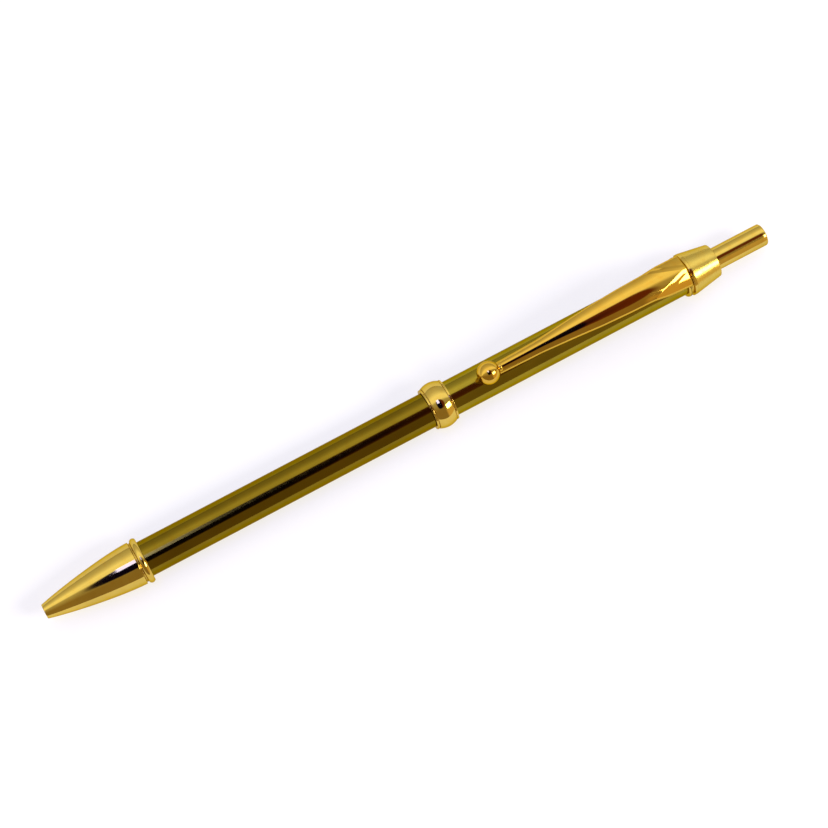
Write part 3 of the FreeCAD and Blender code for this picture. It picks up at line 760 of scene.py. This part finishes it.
def clip_foot(x1):
    """Grid of the bent-down end of the clip: a rounded oblong, carried straight down on to the ring. Its foot
    follows the ring's round top, and its head falls away to both sides as the leaf does, with the square of
    the distance across."""
    ring = span("clip_ring")[2] + AXIS_Z + FOOT_ROOM
    levels = np.linspace(0, 1, 12)
    top = AXIS_Z + TUBE_R + FOOT_HEAD
    z = ring + (top - ring) * levels
    half_y = (FOOT_HALF_WIDTH - FOOT_TAPER * levels) * MM
    centre_x = x1 - FOOT_INSET
    angle = np.linspace(0, 2 * math.pi, 64, endpoint=False)
    power = 0.25
    cos = np.sign(np.cos(angle)) * np.abs(np.cos(angle)) ** power
    sin = np.sign(np.sin(angle)) * np.abs(np.sin(angle)) ** power
    y = half_y[:, None] * sin
    x = np.broadcast_to(centre_x + FOOT_HALF_LENGTH * cos, y.shape)
    z = np.broadcast_to(z[:, None], x.shape)
    sag = (ring - AXIS_Z) - np.sqrt((ring - AXIS_Z) ** 2 - y ** 2)
    z = z - sag * (1 - levels[:, None]) ** 3 - levels[:, None] * FOOT_HEAD_FALL * y ** 2 / MM
    grid = np.stack([x, y, z], -1)
    start = grid[0].mean(0)
    start[2] = ring
    end = grid[-1].mean(0)
    start = np.broadcast_to(start, grid[:1].shape)
    end = np.broadcast_to(end, grid[:1].shape)
    return np.concatenate([start, grid, end])


def clip_knob():
    """Grid of ball, neck and collar, turned about a line through the ball that is parallel to the pen."""
    low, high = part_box("clip_ball")
    collar_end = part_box("clip_collar")[1].x
    radius = (high.z - low.z) / 2
    centre_x = low.x + radius
    height = (high.z + low.z) / 2
    cut = math.radians(24)
    angle = np.linspace(math.pi, cut, 90)
    ball = np.column_stack([centre_x + radius * np.cos(angle), radius * np.sin(angle)])
    neck_x = ball[-1, 0]
    neck = [(neck_x + 0.04 * MM, 0.86 * MM), (neck_x + 0.1 * MM, 0.84 * MM), (neck_x + 0.3 * MM, 0.9 * MM),
            (collar_end, 0.9 * MM), (collar_end, 0.0)]
    outline = np.vstack([ball, neck])
    turn = np.linspace(0, 2 * math.pi, 128, endpoint=False)
    x = np.broadcast_to(outline[:, :1], (len(outline), len(turn)))
    y = outline[:, 1:] * np.sin(turn)
    z = height + outline[:, 1:] * np.cos(turn)
    return np.stack([x, y, z], -1)


class PEN_OT_spring(bpy.types.Operator):
    """Nib spring: a wire coil with closed ends, built at its rest length. The real spring shortens as the
    refill comes out; this coil does not.
    """

    bl_idname = "pen.spring"
    bl_label = "Nib spring"

    def execute(self, context):
        shapes = context.scene.pen_shapes
        x0, x1, outer = span("nib_spring")
        coil = grid_object("nib_coil", spring_coil(shapes, x0, x1, outer))
        steel = drawn_metal("spring_steel", (0.62, 0.61, 0.58), 0.22)
        place_piece(coil, steel, "lower_half", "spring_steel", "nib_spring")
        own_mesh(coil)
        return {"FINISHED"}


def spring_coil(shapes, x0, x1, outer):
    """Grid over the length of the wire and round it. The wire's middle winds round the axis at an even
    rate, and moves along it by little more than its own thickness in the first and last turns."""
    wire = shapes.spring_wire
    turns = shapes.spring_turns
    steps = int(turns * 40)
    turn = np.linspace(0, turns, steps + 1)
    closed = 2.1 * wire
    free = (x1 - x0 - 2 * wire - 2 * closed) / (turns - 2)
    pitch = np.where((turn < 1) | (turn > turns - 1), closed, free)
    pitch = np.convolve(np.pad(pitch, 12, mode="edge"), np.ones(25) / 25, mode="valid")
    along = np.concatenate([[0], np.cumsum((pitch[1:] + pitch[:-1]) / 2 * np.diff(turn))])
    along = x0 + wire + along * (x1 - x0 - 2 * wire) / along[-1]
    angle = 2 * math.pi * turn
    radius = outer - wire
    out = np.column_stack([np.zeros_like(angle), np.sin(angle), np.cos(angle)])
    centre = out * radius
    centre[:, 0] = along
    centre[:, 2] += AXIS_Z
    ahead = np.gradient(centre, axis=0)
    ahead /= np.linalg.norm(ahead, axis=1)[:, None]
    third = np.cross(ahead, out)
    around = np.linspace(0, 2 * math.pi, 12, endpoint=False)[None, :, None]
    ring = centre[:, None] + wire * (np.cos(around) * out[:, None] + np.sin(around) * third[:, None])
    start = np.broadcast_to(centre[:1, None], ring[:1].shape)
    end = np.broadcast_to(centre[-1:, None], ring[:1].shape)
    return np.concatenate([start, ring, end])


class PEN_OT_inner_parts(bpy.types.Operator):
    """Finishes of the parts inside, which keep their CAD shapes"""

    bl_idname = "pen.inner_parts"
    bl_label = "Inner parts"

    def execute(self, context):
        brass = turned_metal("raw_brass", (0.71, 0.50, 0.20), 0.24)
        plastic = moulded_plastic("cam_plastic", (0.72, 0.70, 0.64))
        tube = drawn_metal("refill_metal", (0.55, 0.54, 0.52), 0.3)
        tip = turned_metal("tip_metal", (0.74, 0.66, 0.42), 0.2, 0.09 * MM)
        ball = turned_metal("ball_carbide", (0.42, 0.42, 0.44), 0.12)
        ink = paste_ink("ink", (0.008, 0.010, 0.05))
        rows = (
            (brass, ("nib_bushing", "lower_coupler", "upper_bush")),
            (plastic, ("cam_sleeve", "plunger", "rotor")),
            (tube, ("refill_tube", "refill_cap")),
            (tip, ("refill_holder", "refill_tip")),
            (ball, ("writing_ball",)),
            (ink, ("ink_column",)),
        )
        for material, nodes in rows:
            for node in nodes:
                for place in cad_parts[node].material_slots:
                    place.material = material
        return {"FINISHED"}


# The dark gap: its middle and half its width in degrees about the pen, then the middle and half the length
# along the pen, and the power, of its black core and of the warm shade around that
GAP_SIDE = -10
GAP_HALF = 22
GAP_CORE = (-0.10, 0.245, 3.0)
GAP_SHADE = (0.03, 0.36, 2.0)

# Angles about the pen from straight up, towards +Y, with the studio's colour there
SURROUND = (
    (-88, (0.36, 0.26, 0.13)),
    (-38, (0.36, 0.26, 0.13)),
    (2, (0.62, 0.58, 0.50)),
    (12, (1.38, 1.34, 1.28)),
    (32, (1.46, 1.42, 1.36)),
    (48, (1.02, 0.98, 0.93)),
    (60, (0.80, 0.76, 0.71)),
    (75, (0.69, 0.66, 0.61)),
    (85, (0.61, 0.58, 0.53)),
    (89, (0.52, 0.48, 0.42)),
)
LIGHT_DISTANCE = 3.0

# The surround is brighter by LIFT low on the -Y side, past the button. That is full below the first angle
# about the pen and gone above the second, and none before the first place along it and full past the second.
LOW_SIDE = (-48, -34)
LIFT_ALONG = (0.2, 0.36)
LIFT = 1.4
WARM_SHADE = (0.16, 0.035, 0.01)
BLACK_CORE = (0.004, 0.002, 0.03)


class PEN_OT_stage(bpy.types.Operator):
    """Floor, camera and studio light"""

    bl_idname = "pen.stage"
    bl_label = "Stage"

    def execute(self, context):
        studio = context.scene.pen_studio
        make_floor()
        make_camera(studio)
        make_world(context.scene)
        make_lights()
        context.scene.view_settings.view_transform = "Standard"
        return {"FINISHED"}


def make_floor():
    """Pale floor that the pen lies on, faintly lit from inside like a light table."""
    half = 6.0
    mesh = bpy.data.meshes.new("floor")
    corners = [(-half, -half, 0), (half, -half, 0), (half, half, 0), (-half, half, 0)]
    mesh.from_pydata(corners, [], [(0, 1, 2, 3)])
    floor = bpy.data.objects.new("floor", mesh)
    bpy.context.scene.collection.objects.link(floor)
    material, tree = new_material("pale_floor")
    place = add(tree, "ShaderNodeTexCoord")[3]
    paper = noise(tree, place, 30.0, 2.0).ramp(0.3, 0.7, 0.985, 1.0)
    colour = scaled(tree, (0.42, 0.42, 0.42), paper)
    inputs = {"Base Color": colour, "Roughness": 0.9, "Specular IOR Level": 0.0}
    inputs.update({"Emission Color": (1.0, 1.0, 1.0), "Emission Strength": 0.60})
    shader = add(tree, "ShaderNodeBsdfPrincipled", {}, inputs)[0]
    add(tree, "ShaderNodeOutputMaterial", {}, {"Surface": shader})
    mesh.materials.append(material)


def make_camera(studio):
    """Camera over the pen, leant towards its writing end and swung towards -Y."""
    towards = Vector((
        -math.sin(studio.tilt),
        -math.cos(studio.tilt) * math.sin(studio.swing),
        math.cos(studio.tilt) * math.cos(studio.swing),
    ))
    along = Vector((1, 0, 0))
    along = (along - towards * along.dot(towards)).normalized()
    across = towards.cross(along)
    right = along * math.cos(studio.slope) - across * math.sin(studio.slope)
    up = along * math.sin(studio.slope) + across * math.cos(studio.slope)
    aim = Vector((studio.aim_x, 0, AXIS_Z)) + across * studio.aim_up
    data = bpy.data.cameras.new("camera")
    data.lens = studio.lens
    data.sensor_width = 36.0
    data.clip_start = 0.01
    camera = bpy.data.objects.new("camera", data)
    turn = Matrix((right, up, towards)).transposed().to_4x4()
    camera.matrix_world = Matrix.Translation(aim + towards * studio.distance) @ turn
    bpy.context.scene.collection.objects.link(camera)
    bpy.context.scene.camera = camera


def make_world(scene):
    """Soft studio surround. Its colour goes round the pen, from the -Y side over the top to the +Y side, and
    a dark gap in it over the pen ends in a warm shade."""
    world = bpy.data.worlds.new("studio")
    world.use_nodes = True
    tree = world.node_tree
    tree.nodes.clear()
    way = add(tree, "ShaderNodeTexCoord")[0]
    x, y, z = add(tree, "ShaderNodeSeparateXYZ", {}, {0: way})
    side = y.math("ARCTAN2", z.math("MAXIMUM", 0.001))
    turn = side * (1 / math.pi) + 0.5
    stops = [((math.radians(angle) / math.pi) + 0.5, colour) for angle, colour in SURROUND]
    sky = add(tree, "ShaderNodeValToRGB", {"stops": stops}, {0: turn})[0]
    from_middle = ((side - math.radians(GAP_SIDE)) / math.radians(GAP_HALF)).math("ABSOLUTE")
    core = oval(from_middle, x, *GAP_CORE)
    shade = oval(from_middle, x, *GAP_SHADE)
    low_side = 1.0 - side.smooth(math.radians(LOW_SIDE[0]), math.radians(LOW_SIDE[1]))
    lift = 1.0 + x.smooth(*LIFT_ALONG) * low_side * LIFT
    warm = mix(tree, shade, scaled(tree, sky, lift), WARM_SHADE)
    light = mix(tree, core, warm, BLACK_CORE)
    background = add(tree, "ShaderNodeBackground", {}, {"Color": light, "Strength": 1.0})[0]
    add(tree, "ShaderNodeOutputWorld", {}, {"Surface": background})
    scene.world = world


def oval(from_middle, x, centre, half, power):
    """1 inside an oval of directions, 0 outside it: both shares to a power added up, with a soft edge. The
    lower the power, the more pointed its ends."""
    along = ((x - centre) / half).math("ABSOLUTE")
    return 1.0 - (from_middle ** power + along ** power).smooth(0.72, 1.3)


def soft_light(name, way, distance, size_x, size_y, radiance, colour):
    """Rectangular light that faces the pen from a direction, with its first side along the pen. Its power
    follows from the brightness of its face: power = radiance * area * pi."""
    way = Vector(way).normalized()
    data = bpy.data.lights.new(name, "AREA")
    data.shape = "RECTANGLE"
    data.size = size_x
    data.size_y = size_y
    data.energy = radiance * size_x * size_y * math.pi
    data.color = colour
    light = bpy.data.objects.new(name, data)
    long_way = Vector((1, 0, 0))
    long_way = (long_way - way * long_way.dot(way)).normalized()
    turn = Matrix((long_way, way.cross(long_way), way)).transposed().to_4x4()
    light.matrix_world = Matrix.Translation(Vector((0, 0, AXIS_Z)) + way * distance) @ turn
    bpy.context.scene.collection.objects.link(light)


def make_lights():
    """A cool window over the writing end and a warm white box beyond the button."""
    soft_light("cool_window", (-0.12, 0.078, 0.98), LIGHT_DISTANCE, 0.72, 0.9, 11.5, (0.142, 0.168, 1.0))
    soft_light("end_box", (0.62, -0.46, 0.635), LIGHT_DISTANCE, 1.6, 1.0, 12.0, (1.0, 0.98, 0.95))


class PEN_PT_panel(bpy.types.Panel):
    """Pieces of the pen, in the order that they are built"""

    bl_idname = "PEN_PT_panel"
    bl_label = "Click Ballpoint Pen"
    bl_space_type = "VIEW_3D"
    bl_region_type = "UI"
    bl_category = "Pen"

    def draw(self, context):
        for step in STEPS:
            self.layout.operator(step.bl_idname)


STEPS = (
    PEN_OT_barrels, PEN_OT_nib, PEN_OT_band, PEN_OT_cap, PEN_OT_clip, PEN_OT_spring, PEN_OT_inner_parts,
    PEN_OT_stage)
GROUPS = (("pen_shapes", PenShapes), ("pen_finishes", PenFinishes), ("pen_studio", PenStudio))


def register():
    for _, group in GROUPS:
        bpy.utils.register_class(group)
    for kind in STEPS + (PEN_PT_panel,):
        bpy.utils.register_class(kind)
    for name, group in GROUPS:
        setattr(bpy.types.Scene, name, bpy.props.PointerProperty(type=group))


def unregister():
    for name, _ in GROUPS:
        delattr(bpy.types.Scene, name)
    for kind in reversed(STEPS + (PEN_PT_panel,)):
        bpy.utils.unregister_class(kind)
    for _, group in reversed(GROUPS):
        bpy.utils.unregister_class(group)


def main():
    register()
    for step in STEPS:
        family, action = step.bl_idname.split(".")
        getattr(getattr(bpy.ops, family), action)()


if __name__ == "__main__":
    main()
